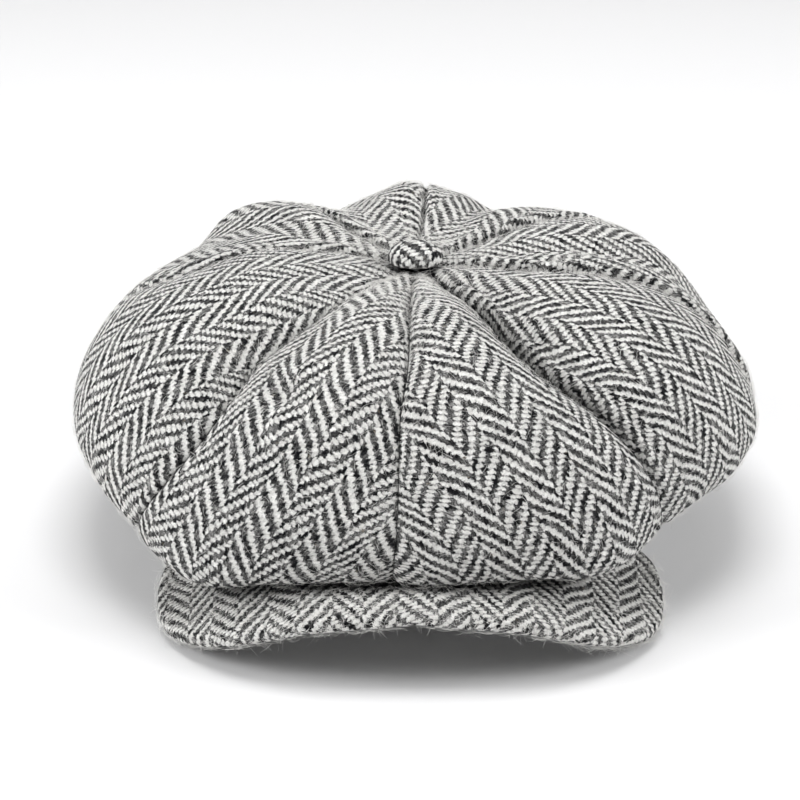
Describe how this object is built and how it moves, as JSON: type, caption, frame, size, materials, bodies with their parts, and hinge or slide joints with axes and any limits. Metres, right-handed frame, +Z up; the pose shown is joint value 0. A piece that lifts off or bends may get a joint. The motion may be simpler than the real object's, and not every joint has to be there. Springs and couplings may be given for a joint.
{
  "type": "newsboy cap",
  "caption": "Full round cap gathered from gores under a covered button, lined, on a headband, with a short curved peak that flexes at its seam.",
  "frame": {"origin": "centre of the head opening, on the plane the rim rests on", "axes": "-Y towards the front (the peak), +X towards the right as seen from the front, +Z up to the button"},
  "size_m": [0.2786, 0.2971, 0.1186],
  "materials": {
    "tweed": "woollen herringbone twill, charcoal and off-white",
    "satin": "satin lining",
    "sweatband_cotton": "cotton twill",
    "buckram": "stiffened cotton",
    "peak_board_plastic": "matt",
    "button_metal": "plain",
    "thread": "spun polyester"
  },
  "bodies": {
    "cap_body": {"crown_panel_front_right": "tweed", "crown_panel_side_front_right": "tweed", "crown_panel_side_back_right": "tweed", "crown_panel_back_right": "tweed", "crown_panel_back_left": "tweed", "crown_panel_side_back_left": "tweed", "crown_panel_side_front_left": "tweed", "crown_panel_front_left": "tweed", "lining_panel_front_right": "satin", "lining_panel_side_front_right": "satin", "lining_panel_side_back_right": "satin", "lining_panel_back_right": "satin", "lining_panel_back_left": "satin", "lining_panel_side_back_left": "satin", "lining_panel_side_front_left": "satin", "lining_panel_front_left": "satin", "headband": "tweed", "headband_interlining": "buckram", "sweatband": "sweatband_cotton", "button_cover": "tweed", "button_shell": "button_metal", "button_back": "button_metal", "button_thread": "thread"},
    "peak": {"peak_top_cover": "tweed", "peak_under_cover": "tweed", "peak_board": "peak_board_plastic"}
  },
  "joints": [
    {"name": "peak_flex", "type": "hinge", "parent": "cap_body", "child": "peak", "pos_m": [0, -0.085, 0.014], "axis": [1, 0, 0], "range_deg": [0, 10], "stiffness_Nm_per_rad": 0.6, "springref_deg": -2.86}
  ]
}
